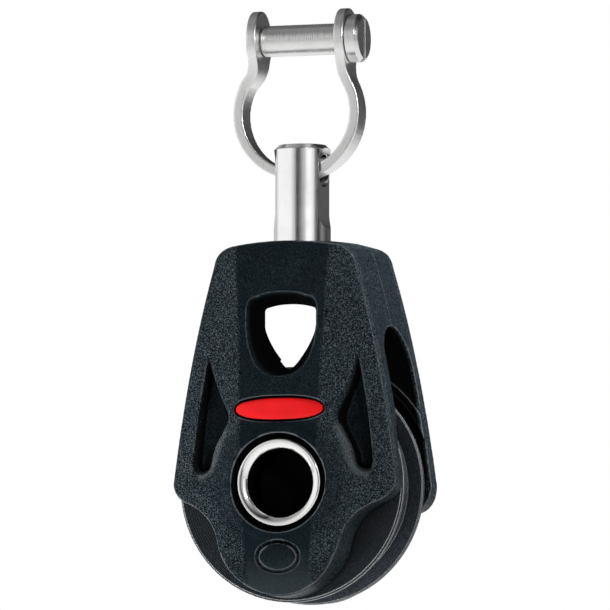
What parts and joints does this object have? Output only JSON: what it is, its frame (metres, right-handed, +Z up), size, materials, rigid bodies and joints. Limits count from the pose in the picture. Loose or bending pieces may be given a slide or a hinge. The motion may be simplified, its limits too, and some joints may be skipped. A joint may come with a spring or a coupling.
{
  "type": "swivel block",
  "caption": "Single ball bearing block: a moulded faceted housing with a grooved sheave hangs from a swivel post and a bow shackle with a withdrawable pin.",
  "frame": {"origin": "centre of the shackle pin between the ears", "axes": "+Z up along the hanging block from the sheave to the shackle, +X along the pin towards its slotted head, -Y out of the front cheek"},
  "size_m": [0.0312, 0.02, 0.0762],
  "materials": {
    "shackle_steel": "tumbled satin",
    "pin_steel": "turned bright",
    "post_steel": "turned bright",
    "cheek_nylon": "fine moulded grain",
    "dowel_steel": "ground",
    "washer_acetal": "smooth",
    "hub_steel": "polished",
    "plug_nylon": "smooth black",
    "race_acetal": "smooth",
    "ball_acetal": "smooth",
    "sheave_acetal": "machined satin",
    "badge_red": "gloss"
  },
  "bodies": {
    "shackle": {"shackle_bow": "shackle_steel"},
    "pin": {"shackle_pin": "pin_steel"},
    "post": {"swivel_post": "post_steel"},
    "housing": {"front_cheek": "cheek_nylon", "rear_cheek": "cheek_nylon", "head_dowels": "dowel_steel", "upper_thrust_washer": "washer_acetal", "lower_thrust_washer": "washer_acetal", "hub_tube": "hub_steel", "hub_plug": "plug_nylon", "front_inner_race": "race_acetal", "rear_inner_race": "race_acetal", "front_badge": "badge_red", "rear_badge": "badge_red"},
    "balls": {"front_balls": "ball_acetal", "rear_balls": "ball_acetal"},
    "sheave_wheel": {"sheave": "sheave_acetal"}
  },
  "joints": [
    {"name": "pin_withdraw", "type": "slide", "parent": "shackle", "child": "pin", "axis": [1, 0, 0], "range_m": [0, 0.024]},
    {"name": "shackle_swing", "type": "hinge", "parent": "shackle", "child": "post", "pos_m": [0, 0, -0.0169], "axis": [1, 0, 0], "range_deg": [-110, 110]},
    {"name": "swivel", "type": "hinge", "parent": "post", "child": "housing", "pos_m": [0, 0, -0.03], "axis": [0, 0, 1], "continuous": true},
    {"name": "sheave_spin", "type": "hinge", "parent": "housing", "child": "sheave_wheel", "pos_m": [0, 0, -0.0573], "axis": [0, 1, 0], "continuous": true},
    {"name": "ball_roll", "type": "hinge", "parent": "housing", "child": "balls", "pos_m": [0, 0, -0.0573], "axis": [0, 1, 0], "continuous": true}
  ],
  "couplings": [
    {"joint": "ball_roll", "follows": "sheave_spin", "ratio": 0.5789}
  ]
}
